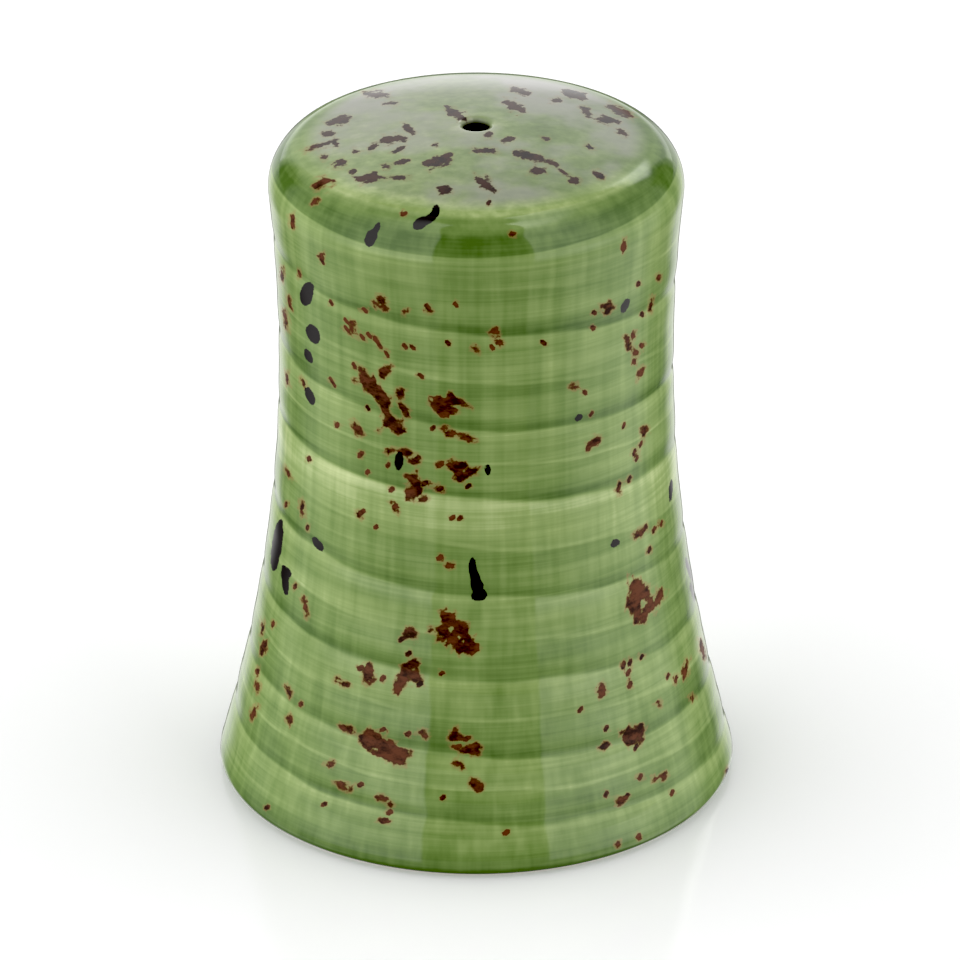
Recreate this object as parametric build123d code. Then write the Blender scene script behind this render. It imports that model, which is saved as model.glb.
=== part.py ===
"""Thrown porcelain spice shaker: a waisted glazed body with one pour hole, and a base stopper.

The body is turned about Z and stands on z = 0, so the origin is the centre of the base.
Both pieces are drawn as half sections, with x as the radius and y as the height, and revolved.
All sizes are in millimetres.
"""

import os
from math import sqrt

from build123d import *

# Outside of the body
body_height = 81.2          # foot to the top of the crown
base_diameter = 60.6        # widest, just above the foot
waist_diameter = 45.5
waist_height = 54.0
shoulder_diameter = 47.4    # widest above the waist
shoulder_drop = 8.2         # from the top of the crown down to the shoulder
shoulder_round = 5.5
crown_rise = 3.2            # how far the crown domes
foot_round = 1.6

# Throwing rings: shallow grooves round the outer wall, further apart as they climb
first_ring_height = 6.5
first_ring_pitch = 7.7
ring_pitch_growth = 0.87
ring_depth = 0.2
plain_shoulder = 4.0        # wall without rings below the shoulder

# Inside and underside of the body
wall_thickness = 3.5
crown_thickness = 4.0
floor_thickness = 4.2
cavity_floor_round = 3.0
cavity_roof_round = 4.5
foot_ring_width = 4.6
recess_depth = 3.2
recess_round = 1.0
foot_inner_round = 0.8

# Holes
pour_hole_diameter = 3.0
pour_lip_round = 0.6
fill_hole_diameter = 22.0
fill_lip_round = 0.8

# Stopper
rib_clearance = 0.08        # between the ribs and the wall of the fill hole
barrel_clearance = 0.8      # between the plain barrel and the same wall
barrel_length = 9.0
nose_round = 1.5
flange_diameter = 27.0
flange_thickness = 1.8
flange_round = 0.5
rib_count = 3
rib_pitch = 2.2
rib_offset = 1.6            # from the flange to the first rib
rib_round = 0.9
stopper_wall = 2.0
stopper_end = 1.8
pocket_round = 1.2
grip_bar_thickness = 2.4
grip_bar_bite = 1.0         # how far the bar runs into the stopper's wall and end

waist_radius = waist_diameter / 2
shoulder_height = body_height - shoulder_drop
crown_edge_height = body_height - crown_rise
cavity_floor = recess_depth + floor_thickness
cavity_top = body_height - crown_thickness
recess_radius = base_diameter / 2 - foot_ring_width
fill_radius = fill_hole_diameter / 2
pour_radius = pour_hole_diameter / 2


def arc_bulge(offset, reach, bulge):
    """How far an arc leaves its tangent at an offset, if it leaves it by bulge at reach."""
    curvature = 2 * bulge / (reach**2 + bulge**2)
    return curvature * offset**2 / (1 + sqrt(1 - (curvature * offset) ** 2))


def wall_radius(height):
    """Radius of the outer wall's envelope: two arcs that meet upright at the waist."""
    if height < waist_height:
        reach = waist_height - foot_round
        bulge = base_diameter / 2 - waist_radius
    else:
        reach = shoulder_height - waist_height
        bulge = shoulder_diameter / 2 - waist_radius
    return waist_radius + arc_bulge(height - waist_height, reach, bulge)


def ring_heights():
    """Heights of the throwing rings that fit under the shoulder."""
    heights = []
    height = first_ring_height
    pitch = first_ring_pitch
    while height < shoulder_height - plain_shoulder:
        heights.append(height)
        height += pitch
        pitch += ring_pitch_growth
    return heights


def dome_arc(edge_radius, top_height):
    """Arc of a dome from its edge to the axis, with the crown's rise."""
    middle = edge_radius / 2
    drop = arc_bulge(middle, edge_radius, crown_rise)
    edge = (edge_radius, top_height - crown_rise)
    return ThreePointArc(edge, (middle, top_height - drop), (0, top_height))


def wall_arc(low, high, inset):
    """Arc of the wall's envelope between two heights, moved in towards the axis."""
    heights = (low, (low + high) / 2, high)
    return ThreePointArc(*[(wall_radius(height) - inset, height) for height in heights])


def ringed_wall():
    """Outer wall from the floor to the crown's edge: one low scallop between each two rings."""
    rings = ring_heights()
    ends = [0.0, *rings, crown_edge_height]
    scallops = []
    for low, high in zip(ends, ends[1:]):
        middle = (low + high) / 2
        start = (wall_radius(low) - (ring_depth if low in rings else 0), low)
        end = (wall_radius(high) - (ring_depth if high in rings else 0), high)
        scallops.append(ThreePointArc(start, (wall_radius(middle), middle), end))
    return scallops


def outside_section():
    """Half section of the body as if it were solid."""
    edge_radius = wall_radius(crown_edge_height)
    outline = [
        Line((0, 0), (wall_radius(0), 0)),
        *ringed_wall(),
        dome_arc(edge_radius, body_height),
        Line((0, body_height), (0, 0)),
    ]
    return make_face(outline)


def cavity_section():
    """Half section of the spice chamber."""
    roof_edge = cavity_top - crown_rise
    roof_radius = wall_radius(roof_edge) - wall_thickness
    outline = [
        Line((0, cavity_floor), (wall_radius(cavity_floor) - wall_thickness, cavity_floor)),
        wall_arc(cavity_floor, waist_height, wall_thickness),
        wall_arc(waist_height, roof_edge, wall_thickness),
        dome_arc(roof_radius, cavity_top),
        Line((0, cavity_top), (0, cavity_floor)),
    ]
    return make_face(outline)


def block(radius, low, high):
    """Half section of a plain disc or bore."""
    return Pos(radius / 2, (low + high) / 2) * Rectangle(radius, high - low)


def round_corners(section, corners):
    """Round each corner, given as its radius, height and rounding."""
    for radius, height, rounding in corners:
        corner = section.vertices().sort_by_distance((radius, height))[0]
        section = fillet(corner, rounding)
    return section


def turn(section):
    """Revolve a half section about Z."""
    return revolve(Plane.XZ * section, Axis.Z)


def ceramic_body():
    """The glazed body: outer wall, chamber, foot recess and both holes."""
    section = outside_section() - cavity_section()
    section -= block(recess_radius, 0, recess_depth)
    section -= block(fill_radius, recess_depth, cavity_floor)
    section -= block(pour_radius, cavity_top - crown_rise, body_height)
    floor_radius = wall_radius(cavity_floor) - wall_thickness
    roof_edge = cavity_top - crown_rise
    corners = [
        (wall_radius(0), 0, foot_round),
        (wall_radius(crown_edge_height), crown_edge_height, shoulder_round),
        (pour_radius, body_height, pour_lip_round),
        (pour_radius, cavity_top, pour_lip_round),
        (wall_radius(roof_edge) - wall_thickness, roof_edge, cavity_roof_round),
        (floor_radius, cavity_floor, cavity_floor_round),
        (fill_radius, cavity_floor, fill_lip_round),
        (fill_radius, recess_depth, fill_lip_round),
        (recess_radius, recess_depth, recess_round),
        (recess_radius, 0, foot_inner_round),
    ]
    return turn(round_corners(section, corners))


def stopper():
    """The silicone stopper: flange on the recess ceiling, ribbed barrel in the fill hole."""
    seat = recess_depth
    underside = seat - flange_thickness
    nose = seat + barrel_length
    barrel_radius = fill_radius - barrel_clearance
    flange_radius = flange_diameter / 2
    pocket_radius = barrel_radius - stopper_wall
    pocket_end = nose - stopper_end

    section = block(flange_radius, underside, seat) + block(barrel_radius, seat, nose)
    section -= block(pocket_radius, underside, pocket_end)
    corners = [
        (flange_radius, underside, flange_round),
        (flange_radius, seat, flange_round),
        (barrel_radius, nose, nose_round),
        (pocket_radius, underside, flange_round),
        (pocket_radius, pocket_end, pocket_round),
    ]
    section = round_corners(section, corners)
    rib_centre = fill_radius - rib_clearance - rib_round
    for rib in range(rib_count):
        height = seat + rib_offset + rib * rib_pitch
        section += Pos(rib_centre, height) * Circle(rib_round)

    bar_length = 2 * (pocket_radius + grip_bar_bite)
    bar_height = pocket_end - underside + grip_bar_bite
    bar = Box(bar_length, grip_bar_thickness, bar_height, align=(Align.CENTER, Align.CENTER, Align.MIN))
    return turn(section) + Pos(0, 0, underside) * bar


def main():
    """Write each piece to its own STEP file."""
    os.makedirs("parts", exist_ok=True)
    for piece in (ceramic_body, stopper):
        solid = piece()
        solid.label = piece.__name__
        export_step(solid, f"parts/{piece.__name__}.step")
        print(piece.__name__, round(solid.volume), "mm3", solid.bounding_box())


main()
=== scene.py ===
# %% [markdown]
# # A glazed spice shaker
#
# The real shaker is one piece of porcelain, waisted like an hourglass, with a domed crown and one
# pour hole. A brush of leaf-green glaze runs round it over shallow throwing rings, iron flecks burn
# through the glaze, and a clear coat covers the lot. A soft stopper closes the base.
#
# The solid model comes first. It fixes where everything is, and what follows only dresses it.

# %% Load the solid model
from collections import namedtuple
from math import cos, pi, radians, sin, sqrt, tan

import bmesh
import bpy
import numpy as np
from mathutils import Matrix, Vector, noise


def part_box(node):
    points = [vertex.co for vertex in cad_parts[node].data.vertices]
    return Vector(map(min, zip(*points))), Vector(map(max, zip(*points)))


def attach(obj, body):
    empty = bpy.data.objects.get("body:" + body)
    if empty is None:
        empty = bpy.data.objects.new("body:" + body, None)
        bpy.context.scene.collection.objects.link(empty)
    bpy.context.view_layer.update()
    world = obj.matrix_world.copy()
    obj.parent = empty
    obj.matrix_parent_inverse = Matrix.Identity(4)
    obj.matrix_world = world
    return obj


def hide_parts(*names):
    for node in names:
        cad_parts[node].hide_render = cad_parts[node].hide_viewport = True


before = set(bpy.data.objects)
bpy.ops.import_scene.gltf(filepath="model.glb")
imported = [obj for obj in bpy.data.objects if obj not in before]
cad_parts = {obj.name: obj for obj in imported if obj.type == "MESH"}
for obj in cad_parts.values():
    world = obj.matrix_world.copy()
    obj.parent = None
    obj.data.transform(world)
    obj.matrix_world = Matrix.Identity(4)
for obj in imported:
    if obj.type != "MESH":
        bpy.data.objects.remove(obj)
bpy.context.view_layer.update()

# %% [markdown]
# ## The camera
#
# A small thing is shown from well back with a long lens, which keeps its sides nearly parallel. The
# camera is described by what a photographer would set: how far away, how high, and which lens. It
# looks along +Y, so the front of the shaker is its -Y side.
#
# The same few numbers also tell where a point of the shaker shows in the picture. The flecks are
# placed with that later on, so it is kept as a function.

# %% Place the camera
mm = 0.001
camera_distance = 840.0
camera_elevation = radians(26.16)
camera_aim = Vector((0.43, 0.0, 36.07))
lens_length = 270.7
sensor_width = 36.0
picture_side = 960

toward_camera = Vector((0, -cos(camera_elevation), sin(camera_elevation)))
picture_up = Vector((0, sin(camera_elevation), cos(camera_elevation)))

camera_data = bpy.data.cameras.new("camera")
camera_data.lens = lens_length
camera_data.sensor_width = sensor_width
camera_data.clip_end = 20
camera = bpy.data.objects.new("camera", camera_data)
camera.location = (camera_aim + camera_distance * toward_camera) * mm
camera.rotation_euler = (pi / 2 - camera_elevation, 0, 0)
bpy.context.scene.collection.objects.link(camera)
bpy.context.scene.camera = camera


def picture_place(points):
    """Where points in millimetres show in the picture: pixels from its left and top edges."""
    offset = points - np.array(camera_aim)
    focal = picture_side * lens_length / sensor_width
    depth = camera_distance - offset @ np.array(toward_camera)
    across = picture_side / 2 + focal * offset[:, 0] / depth
    down = picture_side / 2 - focal * (offset @ np.array(picture_up)) / depth
    return across, down


axis_foot = picture_place(np.array([[0.0, 0.0, 0.0]]))
print("the foot of the shaker's axis shows at", [round(float(side[0])) for side in axis_foot])

# %% [markdown]
# ## The outline
#
# A thrown pot is a turned shape, so half of its section is drawn once and spun round Z. The section
# is two runs of straight lines that meet at both ends: a fine outer run, and a coarse inner run for
# the chamber, the fill hole and the recess under the base, which are rarely seen.
#
# Each corner of a run is a vertex, and bevelling a vertex of a bare wire rounds the corner with an
# arc. The wall is then bowed: every vertex on it moves out or in by the difference between the
# wall's true curve and the straight line that was drawn.

# %% The shaker's sizes, in millimetres
body_height = 81.2
crown_rise = 3.2
shoulder_round = 5.5
waist_radius, waist_height = 22.75, 54.0
base_bulge, base_reach = 7.55, 52.4
shoulder_bulge, shoulder_reach = 0.95, 19.0
wall_thickness = 3.5
crown_thickness = 4.0
chamber_floor = 7.4
recess_depth = 3.2
recess_radius = 25.7
fill_radius = 11.0
pour_radius = 1.5


def wall_radius(height):
    """Radius of the outer wall: one arc below the waist and another above it."""
    if height < waist_height:
        reach, bulge = base_reach, base_bulge
    else:
        reach, bulge = shoulder_reach, shoulder_bulge
    curvature = 2 * bulge / (reach**2 + bulge**2)
    offset = height - waist_height
    return waist_radius + curvature * offset**2 / (1 + sqrt(1 - (curvature * offset) ** 2))


def dome_height(radius):
    """Height of the crown, a low arc over the axis."""
    return body_height - crown_rise * min(radius / crown_radius, 1.0) ** 2


crown_edge = body_height - crown_rise
foot_radius, crown_radius = wall_radius(0), wall_radius(crown_edge)
for height in (0, waist_height, crown_edge):
    print("wall radius at", height, "mm:", round(wall_radius(height), 2), "mm")

# %% Draw a run of lines, round its corners, cut it into even steps and bow it
wall_margin = 1.0


def draw_run(mesh, corners, step):
    """Add a wire through the corners, each given as its radius, height and rounding."""
    points = [mesh.verts.new((radius, 0, height)) for radius, height, rounding in corners]
    for first, second in zip(points, points[1:]):
        mesh.edges.new((first, second))
    for point, (radius, height, rounding) in zip(points, corners):
        if rounding:
            before, after = [(edge.other_vert(point).co - point.co) for edge in point.link_edges]
            turn = pi - before.angle(after)
            bmesh.ops.bevel(mesh, geom=[point], affect="VERTICES", offset=rounding * tan(turn / 2),
                            segments=max(2, round(rounding * turn / step)), profile=0.5, material=-1)
    for edge in list(mesh.edges):
        cuts = round(edge.calc_length() / step) - 1
        if cuts > 0:
            bmesh.ops.subdivide_edges(mesh, edges=[edge], cuts=cuts)


def bow(mesh, low, low_radius, high, high_radius, inset):
    """Bend the straight lines from the waist to a low and a high corner into the wall's arcs."""
    waist = waist_radius - inset
    for point in mesh.verts:
        radius, height = point.co.x, point.co.z
        if low <= height <= high and radius > waist - wall_margin:
            if height > waist_height:
                end_radius, share = high_radius, (height - waist_height) / (high - waist_height)
            else:
                end_radius, share = low_radius, (waist_height - height) / (waist_height - low)
            straight = waist + (end_radius - waist) * share
            point.co.x += wall_radius(height) - inset - straight


def dome(mesh, slope, lowest):
    """Bend what lies above a height from the straight line it was drawn on into the crown's arc."""
    for point in mesh.verts:
        if point.co.z >= lowest:
            straight = crown_edge + slope * (crown_radius - point.co.x)
            point.co.z += dome_height(point.co.x) - straight


# %% Spin the section round the axis
around = 320
fine_step, coarse_step = 0.5, 4.0
foot_round, foot_inner_round = 1.6, 0.8
recess_round = 1.0
pour_lip_round, fill_lip_round = 0.6, 0.8
chamber_floor_round, chamber_roof_round = 3.0, 4.5
foot_join_radius = 27.5
hole_join_depth = 2.0
join_distance, seam_distance = 0.01, 0.0005

crown_slope = 2 * crown_rise * (crown_radius - shoulder_round) / crown_radius**2
drawn_height = crown_edge + crown_slope * (crown_radius - pour_radius)
hole_join = dome_height(pour_radius) - hole_join_depth

pot = bmesh.new()
draw_run(pot, [
    (pour_radius, drawn_height - hole_join_depth, 0),
    (pour_radius, drawn_height, pour_lip_round),
    (crown_radius, crown_edge, shoulder_round),
    (waist_radius, waist_height, 0),
    (foot_radius, 0.0, foot_round),
    (foot_join_radius, 0.0, 0),
], fine_step)
bow(pot, 0.0, foot_radius, crown_edge, crown_radius, 0.0)
dome(pot, crown_slope, crown_edge - shoulder_round)

inner = bmesh.new()
chamber_top = body_height - crown_thickness
roof_edge = chamber_top - crown_rise
floor_corner = wall_radius(chamber_floor) - wall_thickness
roof_corner = wall_radius(roof_edge) - wall_thickness
draw_run(inner, [
    (foot_join_radius, 0.0, 0),
    (recess_radius, 0.0, foot_inner_round),
    (recess_radius, recess_depth, recess_round),
    (fill_radius, recess_depth, fill_lip_round),
    (fill_radius, chamber_floor, fill_lip_round),
    (floor_corner, chamber_floor, chamber_floor_round),
    (waist_radius - wall_thickness, waist_height, 0),
    (roof_corner, roof_edge, chamber_roof_round),
    (pour_radius, chamber_top, pour_lip_round),
    (pour_radius, hole_join, 0),
], coarse_step)
bow(inner, chamber_floor, floor_corner, roof_edge, roof_corner, wall_thickness)

section = bpy.data.meshes.new("section")
inner.to_mesh(section)
inner.free()
pot.from_mesh(section)
bpy.data.meshes.remove(section)
bmesh.ops.remove_doubles(pot, verts=pot.verts[:], dist=join_distance)
section_points = len(pot.verts)
bmesh.ops.spin(pot, geom=pot.verts[:] + pot.edges[:], cent=(0, 0, 0), axis=(0, 0, 1),
               angle=2 * pi, steps=around, use_merge=True)
bmesh.ops.remove_doubles(pot, verts=pot.verts[:], dist=seam_distance)
bmesh.ops.recalc_face_normals(pot, faces=pot.faces[:])
open_edges = sum(1 for edge in pot.edges if not edge.is_manifold)
print("section points:", section_points, "faces:", len(pot.faces), "open edges:", open_edges)

# %% [markdown]
# ## Throwing rings
#
# The potter's finger climbs while the wheel turns, so the rings are one long screw, and seen from
# the front they run downhill to the right. A number that grows by one from each ring to the next
# says where a point lies on that screw. Its distance from a whole number, times the pitch there, is
# how far the point is above the nearest groove.
#
# The screw does two jobs. It presses the groove into the mesh, because a groove has to catch the
# light. And it is kept on the mesh for the glaze, which pools just above each groove and thins on the
# ledge just below; the dark pool also carries painted groove shade, and the pale ledge a painted
# highlight. A number that jumps from one half pitch to the other would smear where a face spans the
# jump, so the screw is kept as a sine and a cosine, which don't jump.

# %% Where a point lies on the screw
ring_heights_in_front = (6.5, 14.0, 23.0, 33.0, 45.0, 53.5, 65.5)
foot_pitch, shoulder_pitch = 7.5, 12.0
lowest_ring, highest_ring = ring_heights_in_front[0], ring_heights_in_front[-1]
ring_ends = (lowest_ring - foot_pitch, *ring_heights_in_front, highest_ring + shoulder_pitch)
ring_numbers = range(-1, len(ring_heights_in_front) + 1)


def place_on_screw(points):
    """Where each point lies on the screw, and the pitch there in millimetres."""
    turn = np.arctan2(points[:, 0], -points[:, 1]) / (2 * pi)
    screw = np.interp(points[:, 2], ring_ends, ring_numbers) + turn
    return screw, np.interp(points[:, 2], ring_ends, np.gradient(ring_ends))


def fade(values, start, end):
    """Goes smoothly from 0 at start to 1 at end, which may be the lower of the two."""
    share = np.clip((values - start) / (end - start), 0, 1)
    return share * share * (3 - 2 * share)


def hump(values, middle, width):
    """A smooth hump, 1 high."""
    return np.exp(-(((values - middle) / width) ** 2))


# %% Press the rings into the wall
ring_depth, ring_width = 0.14, 0.9
crest_height, crest_offset, crest_width = 0.03, 2.6, 1.2
wobble_height, wobble_size, wobble_squash = 0.05, 9, 2.2
strength_size = 14

pot.verts.ensure_lookup_table()
pot.normal_update()
places = np.array([point.co for point in pot.verts])
facing = np.array([point.normal for point in pot.verts])
radius = np.hypot(places[:, 0], places[:, 1])
outward = (facing[:, :2] * places[:, :2]).sum(1) / radius
on_wall = (outward > 0.2) & (radius > 20) & (places[:, 2] > 0.3)
on_crown = (facing[:, 2] > 0) & (places[:, 2] > crown_edge - 0.5)
outside = on_wall | on_crown

screw, pitch = place_on_screw(places)
groove_distance = (screw - np.round(screw)) * pitch
ringed = on_wall * fade(places[:, 2], 2.0, 6.0) * fade(places[:, 2], 73.0, 68.0)
strength = np.array([0.75 + 0.6 * noise.noise(Vector(place) / strength_size) for place in places])
wobble = np.array([noise.noise(Vector((x, y, z * wobble_squash)) / wobble_size) for x, y, z in places])
relief = -ring_depth * strength * hump(groove_distance, 0, ring_width)
crest = crest_height * hump(np.abs(groove_distance), crest_offset, crest_width)
relief += crest + wobble_height * wobble
relief *= ringed
for point, push in zip(pot.verts, relief):
    point.co += point.normal * float(push)
print("ring relief from", round(float(relief.min()), 2), "to", round(float(relief.max()), 2), "mm")

# %% [markdown]
# ## Flecks
#
# The flecks are where iron oxide was flicked at the damp glaze. Their look needs two kinds: ragged
# rust-brown flakes, and smooth black drops that ran a little in the kiln.
#
# The ones in front are set one by one, so they are listed by where they show in the picture: pixels
# across and down, their length and width in pixels, and their tilt in degrees from level, always in
# that order. Each is an ellipse, and several together make a large flake. Round the sides and back,
# where nobody set them, a seeded draw scatters flecks of the same sizes.
#
# Every vertex keeps its distance from the edge of the nearest fleck, in millimetres. A distance
# blends well between vertices, so the glaze can draw a crisp edge that is finer than the mesh.

# %% Flecks set one by one
Fleck = namedtuple("Fleck", "across down length width tilt")

crown_flecks = [
    (339, 121, 24, 8, 15), (328, 134, 13, 6, 5), (375, 94, 26, 6, 0), (390, 103, 13, 3, 0),
    (320, 146, 28, 4, 20), (335, 144, 8, 4, 85), (324, 157, 8, 4, 10), (339, 164, 15, 7, 20),
    (374, 147, 13, 6, 35), (393, 139, 26, 8, 5), (409, 129, 15, 6, -40), (398, 151, 16, 5, 30),
    (355, 153, 7, 5, 0), (435, 144, 6, 4, 0), (403, 162, 17, 5, 5), (437, 162, 32, 10, 12),
    (446, 157, 14, 7, 20), (385, 167, 9, 5, 0), (354, 172, 8, 5, 0), (368, 178, 30, 9, 8),
    (398, 178, 20, 4, 0), (322, 183, 22, 12, 20), (315, 201, 11, 6, 40), (444, 190, 17, 9, 10),
    (457, 114, 26, 9, -30), (520, 91, 20, 6, -20), (514, 106, 23, 9, -28), (555, 100, 12, 4, 0),
    (575, 95, 26, 8, -15), (586, 111, 15, 7, -45), (620, 111, 29, 7, -25), (608, 120, 26, 7, -10),
    (622, 132, 13, 5, -35), (489, 135, 9, 6, 0), (508, 140, 14, 5, 10), (545, 138, 8, 3, 0),
    (485, 151, 26, 5, 0), (528, 156, 33, 8, -10), (553, 163, 14, 5, -15), (537, 171, 15, 6, 0),
    (575, 180, 12, 8, 10), (563, 172, 13, 3, -30), (598, 175, 13, 7, -30), (590, 148, 10, 3, -20),
    (485, 184, 28, 7, -35), (487, 179, 9, 6, 0), (488, 202, 4, 4, 0),
]
shoulder_flecks = [
    (294, 221, 16, 5, 90), (322, 256, 7, 6, 90), (322, 262, 5, 4, 0), (405, 214, 5, 5, 0),
    (298, 274, 8, 3, 90), (513, 234, 7, 6, 0), (623, 245, 14, 4, 85), (639, 283, 6, 4, 30),
    (652, 305, 16, 4, 80), (658, 278, 7, 4, 60), (643, 314, 5, 4, 0), (283, 275, 16, 4, 88),
    (285, 320, 20, 4, 98), (290, 302, 15, 4, 102),
]
upper_flecks = [
    (380, 298, 11, 8, -50), (385, 306, 12, 8, -50), (377, 304, 9, 6, -60), (366, 312, 6, 5, 0),
    (406, 312, 9, 6, 35), (428, 305, 6, 5, 0), (430, 311, 8, 6, 15), (457, 305, 5, 5, 0),
    (331, 301, 5, 4, 0), (345, 319, 6, 3, -30), (351, 324, 8, 7, 0), (353, 330, 11, 8, -50),
    (347, 329, 7, 4, 0), (361, 336, 8, 5, 30), (370, 336, 4, 3, 0), (376, 342, 8, 5, -30),
    (381, 346, 7, 4, -65), (386, 356, 5, 3, 90), (405, 348, 6, 5, 0), (412, 349, 6, 4, 0),
    (448, 343, 4, 4, 0), (476, 349, 11, 6, -40), (495, 332, 12, 7, 10), (498, 342, 12, 8, 0),
    (492, 347, 5, 4, 0), (595, 311, 6, 5, 0), (607, 306, 14, 8, 10), (607, 312, 9, 6, 50),
    (594, 328, 6, 4, 0), (542, 344, 6, 3, 0), (353, 367, 6, 4, 90), (421, 377, 5, 4, 0),
    (331, 380, 4, 3, 0), (335, 384, 4, 3, 0), (287, 378, 13, 3, 95), (303, 383, 14, 3, -55),
]
middle_flecks = [
    (370, 385, 30, 15, -42), (380, 395, 30, 11, -38), (363, 373, 14, 6, -45), (384, 372, 16, 11, 50),
    (401, 393, 16, 10, 75), (404, 410, 20, 7, -55), (385, 409, 22, 8, -80), (390, 420, 20, 13, -55),
    (397, 427, 20, 13, -25), (357, 429, 20, 6, -58), (380, 429, 7, 6, 0), (369, 409, 4, 4, 0),
    (446, 401, 28, 16, 5), (446, 410, 26, 13, 0), (436, 404, 14, 10, 0), (461, 403, 20, 6, -15),
    (446, 430, 12, 9, -50), (452, 433, 10, 7, 20), (467, 438, 20, 6, -18), (434, 427, 5, 3, 0),
    (337, 427, 5, 4, 0), (309, 460, 6, 4, -50), (361, 453, 6, 5, 0), (388, 452, 8, 7, 0),
    (389, 465, 4, 4, 0), (368, 474, 5, 4, 0), (404, 452, 14, 7, -10), (413, 461, 13, 4, -10),
    (419, 457, 8, 5, 80), (458, 466, 22, 11, -8), (460, 474, 15, 12, 0), (471, 471, 16, 8, 5),
    (441, 463, 9, 4, 10), (470, 487, 6, 5, 0), (412, 480, 16, 15, 0), (414, 494, 16, 15, 0),
    (424, 499, 9, 6, 10), (427, 482, 14, 5, -25), (439, 488, 11, 5, -30), (391, 489, 6, 5, 30),
    (394, 508, 15, 5, -55), (358, 514, 11, 4, -55), (364, 510, 5, 5, 0), (573, 386, 11, 8, 80),
    (585, 394, 5, 4, 0), (592, 416, 4, 4, 0), (594, 441, 16, 9, 20), (589, 447, 9, 5, 70),
    (627, 340, 10, 7, 80), (632, 335, 9, 4, 60), (630, 347, 12, 8, -50), (637, 353, 9, 6, 45),
    (641, 345, 9, 4, 55), (635, 361, 7, 4, 80), (641, 375, 16, 5, 62), (644, 431, 13, 6, 65),
    (625, 426, 5, 3, 90), (640, 445, 8, 3, 55), (634, 452, 8, 4, -70), (636, 457, 6, 4, 0),
    (619, 489, 15, 5, 82), (629, 478, 7, 4, 70), (289, 473, 13, 3, -58), (286, 506, 6, 3, 80),
]
lower_flecks = [
    (301, 508, 17, 4, 95), (307, 528, 6, 3, 90), (375, 526, 4, 3, 0), (452, 517, 5, 4, 0),
    (461, 517, 4, 3, 0), (295, 586, 6, 4, 80), (304, 606, 22, 4, 100), (441, 558, 6, 5, 0),
    (450, 565, 10, 6, 0), (650, 550, 7, 4, 80), (638, 535, 12, 8, 30), (644, 528, 10, 4, 55),
    (653, 529, 6, 4, 50), (661, 522, 5, 4, 0), (637, 592, 28, 18, 88), (634, 602, 26, 17, 80),
    (638, 613, 20, 11, 85), (648, 611, 26, 11, 62), (659, 597, 20, 9, 62), (650, 600, 12, 8, 0),
    (645, 592, 12, 5, 60), (457, 627, 46, 14, -42), (449, 617, 20, 14, -35), (451, 637, 30, 13, -40),
    (465, 648, 28, 15, -15), (472, 645, 20, 12, -30), (443, 642, 18, 7, -35), (430, 630, 8, 6, 90),
    (411, 635, 18, 9, -15), (408, 631, 9, 7, 0), (400, 640, 5, 4, 0), (408, 653, 5, 4, 0),
    (368, 673, 22, 10, 85), (370, 681, 13, 7, 0), (359, 670, 6, 4, 0), (382, 677, 5, 5, 0),
    (342, 682, 19, 6, -30), (405, 673, 24, 16, 60), (411, 677, 20, 14, 0), (399, 685, 20, 10, 85),
    (412, 664, 12, 5, 5), (421, 685, 10, 5, -40), (440, 675, 8, 4, -50), (602, 690, 17, 9, 88),
    (631, 664, 9, 5, 80), (625, 666, 8, 5, 80), (628, 673, 6, 5, 0), (630, 683, 8, 5, 90),
    (579, 708, 6, 4, 0), (675, 678, 11, 5, 72), (686, 671, 20, 5, 78), (667, 677, 4, 3, 0),
    (660, 704, 8, 6, 80), (692, 697, 8, 7, 0), (262, 628, 15, 3, 88), (264, 648, 15, 7, 72),
    (272, 625, 6, 3, 80), (258, 672, 9, 3, 90), (259, 687, 13, 4, 92), (253, 714, 16, 5, 70),
    (288, 690, 15, 6, -72), (290, 720, 12, 7, -65), (300, 704, 5, 5, 0),
]
foot_flecks = [
    (347, 729, 20, 6, -28), (377, 743, 34, 20, -22), (390, 751, 34, 18, -30), (405, 752, 16, 6, -20),
    (399, 762, 15, 7, -5), (372, 737, 22, 10, -15), (383, 731, 7, 4, -30), (408, 733, 6, 5, 80),
    (424, 734, 13, 8, -35), (455, 731, 12, 7, 70), (456, 738, 18, 7, -5), (466, 738, 10, 4, 0),
    (472, 749, 27, 11, 0), (457, 746, 14, 4, -10), (460, 766, 14, 6, -32), (330, 764, 10, 7, 0),
    (342, 786, 21, 7, -20), (361, 784, 5, 4, 0), (386, 801, 20, 7, -35), (389, 811, 7, 4, 0),
    (382, 821, 13, 4, -10), (478, 787, 15, 10, -20), (473, 781, 9, 7, 0), (441, 798, 5, 4, 0),
    (604, 747, 13, 7, 35), (606, 730, 4, 4, 0), (632, 737, 22, 19, 0), (638, 731, 15, 12, 45),
    (635, 750, 6, 4, 0), (639, 778, 7, 5, 0), (655, 779, 7, 6, 0), (664, 776, 11, 7, 50),
    (671, 791, 5, 4, 0), (607, 794, 8, 4, -65), (626, 794, 5, 4, 0), (619, 802, 11, 9, 20),
    (617, 844, 8, 6, 0), (637, 839, 6, 4, 80), (507, 832, 6, 4, 0), (727, 773, 11, 3, 75),
    (702, 650, 22, 4, 105), (268, 807, 4, 4, 0), (324, 806, 5, 3, 0), (641, 656, 6, 4, 0),
]
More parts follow.
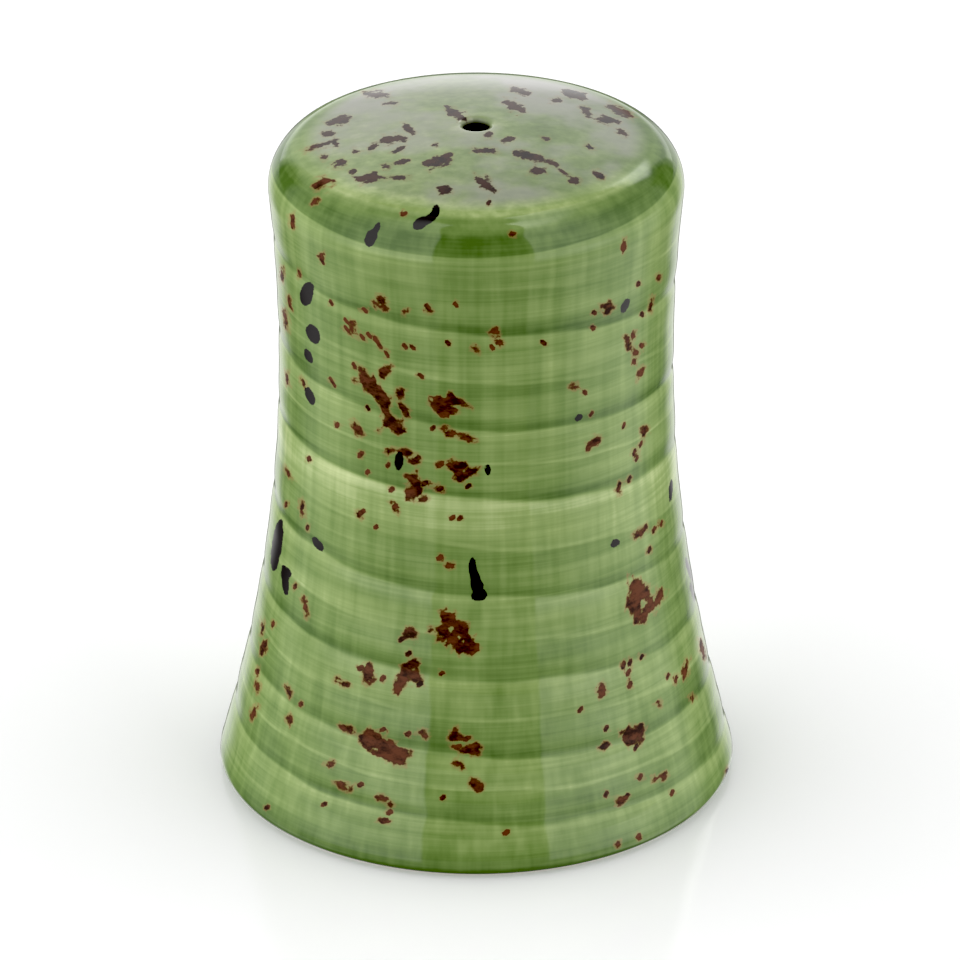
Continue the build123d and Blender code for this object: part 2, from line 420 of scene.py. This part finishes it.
black_drops = [
    (371, 238, 19, 12, 75), (375, 228, 15, 5, 68), (436, 211, 14, 8, 80), (432, 217, 16, 9, 40),
    (422, 222, 21, 10, 22), (418, 226, 12, 9, 0), (307, 294, 24, 13, 82), (309, 356, 16, 7, -62),
    (313, 334, 21, 13, -65), (310, 396, 20, 8, -68), (399, 461, 20, 9, 88), (579, 418, 9, 8, 30),
    (488, 470, 12, 7, -70), (625, 306, 17, 7, 68), (317, 544, 17, 8, -55), (615, 543, 11, 8, 30),
    (473, 570, 26, 8, -84), (477, 585, 30, 12, -78), (479, 595, 17, 14, 0), (277, 545, 52, 10, 82),
    (285, 580, 31, 7, -84), (287, 572, 12, 8, -60), (671, 490, 22, 4, 87), (689, 570, 26, 4, -72),
    (693, 592, 20, 4, -75),
]
upper_marks = crown_flecks + shoulder_flecks + upper_flecks
flakes = [Fleck(*mark) for mark in upper_marks + middle_flecks + lower_flecks + foot_flecks]
drops = [Fleck(*mark) for mark in black_drops]
print("flecks set by eye:", len(flakes), "flakes and", len(drops), "drops")

# %% Distance from a fleck's edge


def ellipse_distance(along, above, length, width, tilt):
    """Signed distance from an ellipse's edge, negative inside, for offsets from its middle."""
    run = along * cos(tilt) + above * sin(tilt)
    rise = above * cos(tilt) - along * sin(tilt)
    reach = np.hypot(run / (length / 2), rise / (width / 2)) + 1e-6
    slope = np.hypot(run / (length / 2) ** 2, rise / (width / 2) ** 2) + 1e-6
    return reach * (reach - 1) / slope


far_from_flecks = 3.0
tear_size, widest_tear = 0.85, 2.5


def nearest_edge(nearest, chosen, along, above, length, width, tilt, raggedness):
    """Lower the kept distances of the chosen points where this fleck is nearer."""
    close = np.hypot(along, above) < length / 2 + far_from_flecks
    rows = chosen[close]
    distance = ellipse_distance(along[close], above[close], length, width, tilt)
    rough = np.array([noise.noise(Vector(places[row]) / tear_size) for row in rows])
    distance += rough * raggedness * min(width, widest_tear)
    nearest[rows] = np.minimum(nearest[rows], distance)


# %% Lay the flecks that were set one by one
pixels_per_mm = 8.75
smallest_fleck = 0.62
flake_raggedness, drop_raggedness = 0.5, 0.12
front_limit = 0.05

seen = facing @ np.array(toward_camera)
front = np.flatnonzero(outside & (seen > front_limit))
across, down = picture_place(places[front])
flake_edge = np.full(len(places), far_from_flecks)
drop_edge = np.full(len(places), far_from_flecks)

for marks, nearest, raggedness in (
    (flakes, flake_edge, flake_raggedness),
    (drops, drop_edge, drop_raggedness),
):
    for mark in marks:
        along, above = (across - mark.across) / pixels_per_mm, (mark.down - down) / pixels_per_mm
        length, width = mark.length / pixels_per_mm, mark.width / pixels_per_mm
        if width < smallest_fleck:
            middle = np.hypot(along, above).argmin()
            along, above = along - along[middle], above - above[middle]
        nearest_edge(nearest, front, along, above, length, width, radians(mark.tilt), raggedness)
print("share of the front that is fleck:", round(float((flake_edge[front] < 0).mean()), 3))

# %% Scatter flecks round the sides and back
draw = np.random.default_rng(41)
cluster_count, drop_count = 42, 9
back_limit = -0.05
scatter_top = 76
turns = np.arctan2(places[:, 0], -places[:, 1])
back = np.flatnonzero(outside & (seen < back_limit) & (places[:, 2] < scatter_top))


def scatter(nearest, turn, height, length, width, tilt, raggedness):
    """Lay one fleck on the wall, at a turn round the axis and a height."""
    swing = (turns[back] - turn + pi) % (2 * pi) - pi
    along, above = swing * radius[back], places[back, 2] - height
    nearest_edge(nearest, back, along, above, length, width, tilt, raggedness)


for cluster in range(cluster_count):
    turn, height = draw.uniform(0.4 * pi, 1.6 * pi), draw.uniform(4, 72)
    size = draw.choice((0.9, 1.4, 2.2, 3.4), p=(0.28, 0.32, 0.22, 0.18))
    for part in range(draw.integers(2, 7)):
        shrink = draw.uniform(0.35, 1.0)
        scatter(flake_edge, turn + draw.normal(0, size * 0.045), height + draw.normal(0, size * 0.9),
                size * shrink * 1.3, max(size * shrink * 0.75, smallest_fleck),
                draw.normal(-0.3, 0.6), flake_raggedness)
for drop in range(drop_count):
    turn, height = draw.uniform(0.45 * pi, 1.55 * pi), draw.uniform(8, 70)
    size, lean = draw.choice((0.8, 1.1, 1.6)), draw.normal(0, 0.45)
    for part in range(3):
        scatter(drop_edge, turn + part * lean * size * 0.03, height - part * size * 0.7, size * 1.7,
                size * (0.6 + 0.25 * part), pi / 2 + lean, drop_raggedness)
print("share of the back that is fleck:", round(float((flake_edge[back] < 0).mean()), 3))

# %% [markdown]
# ## From mesh to object
#
# The mesh was drawn in millimetres and Blender works in metres, so it is scaled once, as a mesh, and
# its object stays at the origin. Everything that the glaze needs to know about a place goes along as
# attributes: where it lies on the screw and the pitch there, how strongly the rings show, the one
# bold ring, the height above the line that the glaze gathers on at the shoulder, the two distances
# from a fleck's edge, the bare foot, and the lining of the chamber.
#
# The bold ring fades out towards the back, because the screw's count jumps by one there.

# %% Keep what the glaze needs as attributes
bold_ring = 4
on_bold_ring = (np.round(screw) == bold_ring) * fade(np.abs(turns), 2.6, 1.9)
shoulder_line = 75.2 + 1.3 * np.sin(turns) ** 2 + 0.3 * np.sin(turns)
foot_face = fade(places[:, 2], 0.15, 0.05) * fade(radius, 25.2, 26.0)
lining = (outward < 0.2) & (radius < recess_radius) & (places[:, 2] > 5.0) & ~on_crown

bmesh.ops.scale(pot, vec=(mm, mm, mm), verts=pot.verts[:])
body_mesh = bpy.data.meshes.new("glazed_body")
pot.to_mesh(body_mesh)
pot.free()
for face_side in body_mesh.polygons:
    face_side.use_smooth = True
kept = {
    "ring_sine": np.sin(2 * pi * screw),
    "ring_cosine": np.cos(2 * pi * screw),
    "ring_pitch": pitch,
    "ringed": ringed,
    "bold_ring": ringed * on_bold_ring,
    "above_shoulder_line": places[:, 2] - shoulder_line,
    "flake_edge": flake_edge,
    "drop_edge": drop_edge,
    "foot_face": foot_face,
    "lining": lining,
}
for name, values in kept.items():
    attribute = body_mesh.attributes.new(name, "FLOAT", "POINT")
    attribute.data.foreach_set("value", values.astype(np.float32))
glazed_body = bpy.data.objects.new("glazed_body", body_mesh)
bpy.context.scene.collection.objects.link(glazed_body)
print("glazed_body has", sum(len(side.vertices) - 2 for side in body_mesh.polygons), "triangles")

# %% [markdown]
# ## Shader sums in plain Python
#
# A glaze is mostly sums: this mask times that noise, one minus the rest. Wiring them by hand hides
# what they mean, so a small class wraps a node's output, and Python's own operators add the Math
# nodes. Any other node comes from its one method.

# %% A wire that can be added and multiplied


class Wire:
    """A node's output. A sum of wires adds Math nodes to the same node tree."""

    def __init__(self, tree, output=None):
        self.tree = tree
        self.output = output

    def node(self, kind, settings=(), inputs=(), output=0):
        """Add a node: its settings first, then a value or a wire for each input by name or place."""
        made = self.tree.nodes.new(kind)
        for name, setting in dict(settings).items():
            if name == "stops":
                while len(made.color_ramp.elements) < len(setting):
                    made.color_ramp.elements.new(1.0)
                for element, (position, colour) in zip(made.color_ramp.elements, setting):
                    element.position, element.color = position, (*colour, 1.0)
            else:
                setattr(made, name, setting)
        for name, given in dict(inputs).items():
            if isinstance(given, Wire):
                self.tree.links.new(given.output, made.inputs[name])
            else:
                made.inputs[name].default_value = given
        return Wire(self.tree, made.outputs[output])

    def maths(self, operation, *others):
        """Add a Math node."""
        return self.node("ShaderNodeMath", {"operation": operation}, enumerate((self, *others)))

    def __add__(self, other):
        return self.maths("ADD", other)

    def __radd__(self, other):
        return self.maths("ADD", other)

    def __sub__(self, other):
        return self.maths("SUBTRACT", other)

    def __rsub__(self, other):
        return self.node("ShaderNodeMath", {"operation": "SUBTRACT"}, {0: other, 1: self})

    def __mul__(self, other):
        return self.maths("MULTIPLY", other)

    def __rmul__(self, other):
        return self.maths("MULTIPLY", other)

    def fade(self, start, end):
        """Goes smoothly from 0 at start to 1 at end, which may be the lower of the two."""
        low, high, first, last = (start, end, 0.0, 1.0) if start < end else (end, start, 1.0, 0.0)
        return self.node("ShaderNodeMapRange", {"interpolation_type": "SMOOTHSTEP"},
                         {0: self, 1: low, 2: high, 3: first, 4: last})


def new_material(name):
    """A material with one Principled BSDF, and a wire on its node tree."""
    material = bpy.data.materials.new(name)
    material.use_nodes = True
    return material, material.node_tree.nodes["Principled BSDF"], Wire(material.node_tree)


def plug(wire, socket):
    """Run a wire into a shader's socket."""
    wire.tree.links.new(wire.output, socket)


def mix_colours(factor, first, second):
    """Blend two colours, each a wire or three numbers."""
    inputs = {0: factor}
    for place, colour in ((6, first), (7, second)):
        inputs[place] = colour if isinstance(colour, Wire) else (*colour, 1.0)
    return factor.node("ShaderNodeMix", {"data_type": "RGBA"}, inputs, output=2)


def stretched_noise(start, size, detail=3.0, roughness=0.5):
    """Noise on the object's own coordinates, with grains of this size in millimetres each way."""
    coordinates = start.node("ShaderNodeTexCoord", output=3)
    scale = tuple(1 / (side * mm) for side in size)
    stretched = start.node("ShaderNodeMapping", {}, {"Vector": coordinates, "Scale": scale})
    return start.node("ShaderNodeTexNoise", {}, {"Vector": stretched, "Scale": 1.0, "Detail": detail,
                                                 "Roughness": roughness})


def kept_value(start, name):
    """An attribute that the mesh carries."""
    return start.node("ShaderNodeAttribute", {"attribute_name": name}, output=2)


def axes_of(start, vector):
    """The three parts of a vector."""
    return [start.node("ShaderNodeSeparateXYZ", {}, {0: vector}, output=axis) for axis in range(3)]


# %% [markdown]
# ## The glaze
#
# Brushed glaze is see-through, so its colour is a matter of thickness: where it is thin the white
# body shines through and it looks pale and yellowish, and where it pools it is deep and saturated.
# One number for the thinness is summed up from every cause, with painted shade and a painted highlight
# among them, and a ramp turns it into the colour:
#
# - long hairs of the brush that run round the pot, and fainter ones that cross them,
# - the broad, soft patches of an uneven coat,
# - the pool above each groove, with painted groove shade, and the thin ledge below it, with a painted
#   highlight,
# - one band in front that stayed dry where the brush was lifted,
# - the crown's edge, which the glaze has slid off, and a paler ring round the lip of its hole,
# - the shoulder, where it has gathered, and painted contact shade at the foot.
#
# On the crown it lies level, so there it shows small dabs instead of hairs and turns milky in patches.
# Its greying towards the back is a painted reflection, and the back of the crown is darkened as painted
# shade.
#
# The clear glaze on top is the shader's coat. It stays smooth while the colour below it is brushed.
# It is thinner over the flakes, and there is none on the bare foot or down in the pour hole, whose
# wall is painted near black as shade.

# %% Make the green glaze
glaze, glaze_shader, start = new_material("brushed_green_glaze")
place = start.node("ShaderNodeTexCoord", output=3)
sideways, depthways, height = [side * (1 / mm) for side in axes_of(start, place)]
from_axis = (sideways * sideways + depthways * depthways).maths("SQRT")

hairs = stretched_noise(start, (26.0, 26.0, 0.42), 2.0, 0.6)
streaks = stretched_noise(start, (40.0, 40.0, 1.9), 3.0, 0.55)
crossing_hairs = stretched_noise(start, (1.3, 1.3, 32.0), 2.0, 0.5)
patches = stretched_noise(start, (9.0, 9.0, 5.5), 3.0, 0.55)
dabs = stretched_noise(start, (1.6, 1.1, 1.6), 3.0, 0.6)

# %% Lay it thick above each groove and thin below, with painted groove shade and highlight
waver = (stretched_noise(start, (11.0, 11.0, 7.0), 1.0, 0.5) - 0.5) * 1.4
full_turn = 1 / (2 * pi)
ring_sine, ring_cosine = kept_value(start, "ring_sine"), kept_value(start, "ring_cosine")
ring_pitch = kept_value(start, "ring_pitch")
above_groove = ring_sine.maths("ARCTAN2", ring_cosine) * ring_pitch * full_turn + waver
above_line = (ring_sine * -1.0).maths("ARCTAN2", ring_cosine * -1.0) * ring_pitch * full_turn - waver

ringed_part = kept_value(start, "ringed")
uneven = 0.4 + 1.2 * stretched_noise(start, (14.0, 14.0, 9.0), 1.0, 0.5)
# Pools above each groove: glaze plus painted groove shade. Ledge below: thin glaze plus painted
# highlight.
deep_glaze_and_groove_shade = above_groove.fade(-0.3, 0.3) * above_groove.fade(1.6, 0.6) * ringed_part
wide_glaze_and_groove_shade = above_groove.fade(-0.3, 0.3) * above_groove.fade(4.0, 1.5) * ringed_part
pale_step_and_painted_highlight = above_groove.fade(-2.0, -0.5) * above_groove.fade(0.1, -0.3) * ringed_part
fine_line = above_line.fade(-0.4, -0.05) * above_line.fade(0.4, 0.1) * ringed_part
soft_pool = above_line.fade(-2.6, -1.2) * above_line.fade(-0.05, -0.35) * ringed_part
rings = uneven * (0.10 * pale_step_and_painted_highlight + 0.09 * fine_line - 0.16 * deep_glaze_and_groove_shade - 0.10 * wide_glaze_and_groove_shade
                  - 0.08 * soft_pool)

# %% Leave one band dry where the brush was lifted
dry_band = above_groove.fade(-5.6, -2.5) * above_groove.fade(0.2, -0.7) * kept_value(start, "bold_ring")
driest = sideways.fade(4.0, -6.0) * sideways.fade(-21.0, -13.0)
rings = rings + dry_band * (0.22 + 0.05 * driest)

# %% Let it slide off the crown, gather on the shoulder, and paint contact shade at the foot
above_shoulder = kept_value(start, "above_shoulder_line") + waver * 0.25
gathered = above_shoulder.fade(-0.25, 0.0) * above_shoulder.fade(2.8, 1.4)
thin_edge = height.fade(78.45, 78.9) * height.fade(79.7, 79.2) * depthways.fade(-5.0, -15.0)
crown_top = height.fade(79.0, 79.6)
pale_lip_ring = from_axis.fade(1.7, 2.1) * from_axis.fade(5.0, 2.3) * crown_top
# Darker towards the foot, most in its last millimetre: painted contact shade.
painted_foot_shade = height.fade(4.5, 1.0) + 1.4 * height.fade(1.2, 0.5)

# Its last term, on depthways and height, darkens the back of the crown: painted shade.
thin_glaze_and_painted_shade = (0.45 + (hairs - 0.5) * 0.34 + (streaks - 0.5) * 0.46 + (crossing_hairs - 0.5) * 0.46
            + (patches - 0.5) * 0.44 + rings - 0.36 * gathered - 0.30 * painted_foot_shade + 0.32 * thin_edge
            + (0.20 * sideways.fade(10.0, -8.0) - 0.06 + 0.6 * (dabs - 0.5)) * crown_top
            + 0.20 * pale_lip_ring - 0.15 * depthways.fade(-6.0, 6.0) * height.fade(76.0, 78.5))
green = start.node("ShaderNodeValToRGB", {"stops": [
    (0.0, (0.070, 0.125, 0.030)),
    (0.35, (0.150, 0.225, 0.070)),
    (0.65, (0.250, 0.330, 0.125)),
    (1.0, (0.470, 0.540, 0.270)),
]}, {0: thin_glaze_and_painted_shade})
# Milky in patches, and greyer towards the back of the crown: a painted reflection.
milky_and_painted_veil = (0.22 + 0.48 * patches.fade(0.38, 0.62) + 0.35 * depthways.fade(0.0, 16.0)) * crown_top
green = mix_colours(milky_and_painted_veil, green, (0.30, 0.30, 0.27))

# %% Burn the iron flecks through it
fine_tear = stretched_noise(start, (0.42, 0.42, 0.36), 2.0, 0.6)
coarse_tear = stretched_noise(start, (1.2, 1.2, 0.8), 2.0, 0.5)
flake_distance = kept_value(start, "flake_edge") + (fine_tear - 0.5) * 0.6 + (coarse_tear - 0.5) * 0.6
drop_distance = kept_value(start, "drop_edge") + (fine_tear - 0.5) * 0.2
flake = flake_distance.fade(0.08, -0.08)
drop = drop_distance.fade(0.05, -0.05)
rust_halo = flake_distance.fade(0.36, 0.0) * (0.5 - 0.3 * crown_top)

iron_fibres = stretched_noise(start, (1.5, 1.5, 0.8), 3.0, 0.65)
iron_amount = stretched_noise(start, (9.0, 9.0, 9.0), 1.0, 0.5)
red_iron = (iron_fibres * 0.6 + iron_amount * 0.4).fade(0.38, 0.58) * flake_distance.fade(0.05, -0.3)
burnt = mix_colours(flake_distance.fade(0.02, -0.22), (0.120, 0.068, 0.026), (0.034, 0.021, 0.018))
iron = mix_colours(red_iron, burnt, (0.115, 0.048, 0.030))
iron = mix_colours(0.6 * crown_top, iron, (0.028, 0.026, 0.026))

coloured = mix_colours(rust_halo, green, (0.290, 0.170, 0.075))
coloured = mix_colours(flake, coloured, iron)
coloured = mix_colours(drop, coloured, (0.012, 0.010, 0.010))

# %% Finish the foot and the lining, paint shade in the pour hole, and close the material
porcelain_grain = stretched_noise(start, (0.3, 0.3, 0.3), 4.0, 0.6)
bare_porcelain = mix_colours(porcelain_grain, (0.56, 0.52, 0.45), (0.70, 0.66, 0.59))
white_lining = mix_colours(patches, (0.66, 0.66, 0.58), (0.74, 0.74, 0.67))
foot_mask = kept_value(start, "foot_face").fade(0.3, 0.7)
coloured = mix_colours(kept_value(start, "lining").fade(0.3, 0.7), coloured, white_lining)
coloured = mix_colours(foot_mask, coloured, bare_porcelain)
# Near black down in the pour hole: painted shade.
painted_hole_shade = from_axis.fade(1.75, 1.5) * height.fade(chamber_top, chamber_top + 0.6)
coloured = mix_colours(painted_hole_shade, coloured, (0.020, 0.018, 0.010))

coat = 1.0 - foot_mask - painted_hole_shade - 0.7 * flake * (1.0 - crown_top)
grain = hairs + porcelain_grain * foot_mask
bump = start.node("ShaderNodeBump", {}, {"Strength": 0.18, "Distance": 0.2 * mm, "Height": grain})
plug(coloured, glaze_shader.inputs["Base Color"])
plug(0.42 + 0.30 * foot_mask, glaze_shader.inputs["Roughness"])
plug(coat, glaze_shader.inputs["Coat Weight"])
plug(bump, glaze_shader.inputs["Normal"])
glaze_shader.inputs["Specular IOR Level"].default_value = 0.0
glaze_shader.inputs["Coat Roughness"].default_value = 0.04
glaze_shader.inputs["Coat IOR"].default_value = 1.5
body_mesh.materials.append(glaze)

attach(glazed_body, "shaker")
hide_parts("ceramic_body")
print("glaze nodes:", len(glaze.node_tree.nodes))

# %% [markdown]
# ## The stopper
#
# The stopper's ribs, pocket and grip bar are already right in the solid model, so it keeps that
# shape and only gets its material: milky silicone, a little see-through at its thin flange, satin,
# with the fine grain of the mould and a dusting of spice that clings to it.

# %% Give the stopper its silicone
silicone, silicone_shader, start = new_material("milky_silicone")
cloud = stretched_noise(start, (5.0, 5.0, 5.0), 3.0, 0.5)
grain = stretched_noise(start, (0.12, 0.12, 0.12), 2.0, 0.5)
dust = stretched_noise(start, (0.5, 0.5, 0.5), 4.0, 0.7).fade(0.62, 0.72) * 0.35
milky = mix_colours(cloud, (0.62, 0.61, 0.56), (0.72, 0.71, 0.66))
bump = start.node("ShaderNodeBump", {}, {"Strength": 0.12, "Distance": 0.1 * mm, "Height": grain})
plug(mix_colours(dust, milky, (0.52, 0.44, 0.32)), silicone_shader.inputs["Base Color"])
plug(0.38 + 0.14 * cloud, silicone_shader.inputs["Roughness"])
plug(bump, silicone_shader.inputs["Normal"])
silicone_shader.inputs["Subsurface Weight"].default_value = 0.25
silicone_shader.inputs["Subsurface Scale"].default_value = 2 * mm
silicone_shader.inputs["Subsurface Radius"].default_value = (1.0, 0.9, 0.7)
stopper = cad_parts["stopper"]
stopper.data.materials.clear()
stopper.data.materials.append(silicone)
stopper_box = [tuple(round(side / mm, 1) for side in corner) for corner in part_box("stopper")]
print("stopper spans", stopper_box, "mm")

# %% [markdown]
# ## The studio
#
# The shaker stands on a sheet of white acrylic, in a tent of white softboxes: lit from both sides
# and from behind, and dark above and just beside the camera. Glaze is a mirror, so what it mirrors
# is as much part of its look as its colour. The dark slot by the camera keeps a deep green band down
# the middle, and the bright sides lay a pale veil along both edges.
#
# The tent is the world's own shader: a brightness for each direction, from sums on its coordinates.
# It is drawn twice. One tent lights the shaker and the other is what its coat mirrors, so that the
# reflections can be set without changing the light. The mirrored one also has a dark gap between its
# side and rear boxes, and a bare lamp behind the shaker on the right.

# %% Measure directions in the tent
world = bpy.data.worlds.new("light_tent")
world.use_nodes = True
bpy.context.scene.world = world
start = Wire(world.node_tree)
direction = start.node("ShaderNodeTexCoord", output=0)
sideways, depthways, upward = axes_of(start, direction)
bearing = sideways.maths("ARCTAN2", depthways * -1.0) * (180 / pi)
turned_away = bearing.maths("ABSOLUTE")
elevation = upward.maths("ARCSINE") * (180 / pi)
print("light tent nodes so far:", len(world.node_tree.nodes))

# %% Light the shaker from both sides
slot_left, slot_right, slot_softness = -22.0, 30.0, 2.0
slot_light, overhead_light, floor_light = 0.1, 0.25, 0.9
top_of_boxes = 42.0

slot_bearing = bearing * (1.0 - 0.4 * elevation.fade(40.0, 75.0))
left_box = slot_bearing.fade(slot_left, slot_left - slot_softness)
right_box = slot_bearing.fade(slot_right, slot_right + slot_softness)
beside_slot = left_box + right_box
box_light = (2.45 + 0.8 * turned_away.fade(30.0, 70.0) + 0.3 * bearing.fade(-30.0, -70.0)
             - 1.4 * turned_away.fade(115.0, 160.0))
light = slot_light + (box_light - slot_light) * beside_slot * (elevation - top_of_boxes).fade(6.0, -6.0)
light = light + (overhead_light - slot_light) * (elevation - top_of_boxes).fade(-6.0, 6.0)
above_floor = elevation.fade(-1.2, 0.0)
floor_glow = floor_light * (1.0 - 0.65 * elevation.fade(-30.0, -65.0))
light = light * above_floor + floor_glow * (1.0 - above_floor)

# %% Choose what the glaze mirrors
dark, gap_depth, lamp_level = 0.08, 0.9, 2.4

side_box = beside_slot * turned_away.fade(152.0, 149.0) * elevation.fade(80.0, 76.0)
side_box_level = (1.45 - 0.95 * turned_away.fade(55.0, 110.0) + 0.2 * bearing.fade(35.0, 60.0)
                  - 0.25 * bearing.fade(95.0, 125.0)
                  + 1.2 * bearing.fade(30.0, 45.0) * elevation.fade(56.0, 68.0))
rear_box = turned_away.fade(149.0, 152.0) * elevation.fade(54.0, 49.0)
rear_box_level = 1.5 - 0.65 * elevation.fade(3.0, 11.0) - 0.5 * elevation.fade(36.0, 46.0)
gap = turned_away.fade(124.0, 132.0) * turned_away.fade(150.0, 144.0) * elevation.fade(30.0, 20.0)
bare_lamp = (bearing.fade(138.0, 146.0) * bearing.fade(168.0, 160.0)
             * elevation.fade(25.0, 31.0) * elevation.fade(44.0, 36.0))
floor_level = (0.28 + 0.2 * beside_slot + 0.2 * turned_away.fade(50.0, 90.0)
               - 0.5 * turned_away.fade(105.0, 130.0) + 0.8 * turned_away.fade(138.0, 156.0)
               + 0.5 * bearing.fade(40.0, 65.0) * bearing.fade(120.0, 100.0)
               + 1.15 * beside_slot * elevation.fade(-20.0, -2.0) * turned_away.fade(100.0, 60.0))
floor_level = floor_level * (1.0 - 0.75 * turned_away.fade(166.0, 172.0))
floor_level = floor_level * (1.0 - 0.8 * elevation.fade(-40.0, -60.0))
mirrored = dark + side_box * (side_box_level - dark) + rear_box * (rear_box_level - dark)
mirrored = mirrored * (1.0 - gap_depth * gap) + lamp_level * bare_lamp
mirrored = mirrored * above_floor + floor_level * (1.0 - above_floor)

# %% Give each kind of ray its part of the tent
backdrop = 1.0
seen_directly = start.node("ShaderNodeLightPath", output=0)
in_a_mirror = start.node("ShaderNodeLightPath", output=3)
brightness = (light * (1.0 - seen_directly - in_a_mirror) + mirrored * in_a_mirror
              + backdrop * seen_directly)
background = world.node_tree.nodes["Background"]
plug(brightness, background.inputs["Strength"])
background.inputs["Color"].default_value = (1.0, 1.0, 1.0, 1.0)
print("light tent nodes:", len(world.node_tree.nodes))

# %% [markdown]
# ## Film and floor
#
# The film's black level is set a little above nothing, which deepens the flecks and the pour hole.
#
# The floor is one large sheet. It is clear from below, so that the base can be looked at, and hidden
# from mirrored, diffuse and shadow rays, so that it doesn't shut the light off from the base. The
# tent's own lower half stands in for it there.

# %% Set the film
black_level = 0.033
film = bpy.context.scene.view_settings
film.view_transform = "Standard"
film.use_curve_mapping = True
film.curve_mapping.black_level = (black_level, black_level, black_level)
film.curve_mapping.update()
print("view transform:", film.view_transform, "with black at", black_level)

# %% Lay the acrylic floor
floor_half = 3.0
sheet = bmesh.new()
bmesh.ops.create_grid(sheet, x_segments=1, y_segments=1, size=floor_half)
floor_mesh = bpy.data.meshes.new("floor")
sheet.to_mesh(floor_mesh)
sheet.free()
floor = bpy.data.objects.new("floor", floor_mesh)
bpy.context.scene.collection.objects.link(floor)

acrylic, acrylic_shader, start = new_material("white_acrylic")
acrylic_shader.inputs["Base Color"].default_value = (0.96, 0.96, 0.97, 1.0)
acrylic_shader.inputs["Roughness"].default_value = 0.12
acrylic_shader.inputs["IOR"].default_value = 1.45
from_below = start.node("ShaderNodeNewGeometry", output=6)
clear = start.node("ShaderNodeBsdfTransparent")
white = Wire(acrylic.node_tree, acrylic_shader.outputs[0])
surface = start.node("ShaderNodeMixShader", {}, {0: from_below, 1: white, 2: clear})
plug(surface, acrylic.node_tree.nodes["Material Output"].inputs["Surface"])
floor_mesh.materials.append(acrylic)
floor.visible_glossy = False
floor.visible_diffuse = False
floor.visible_shadow = False
print("floor is", 2 * floor_half, "m across")
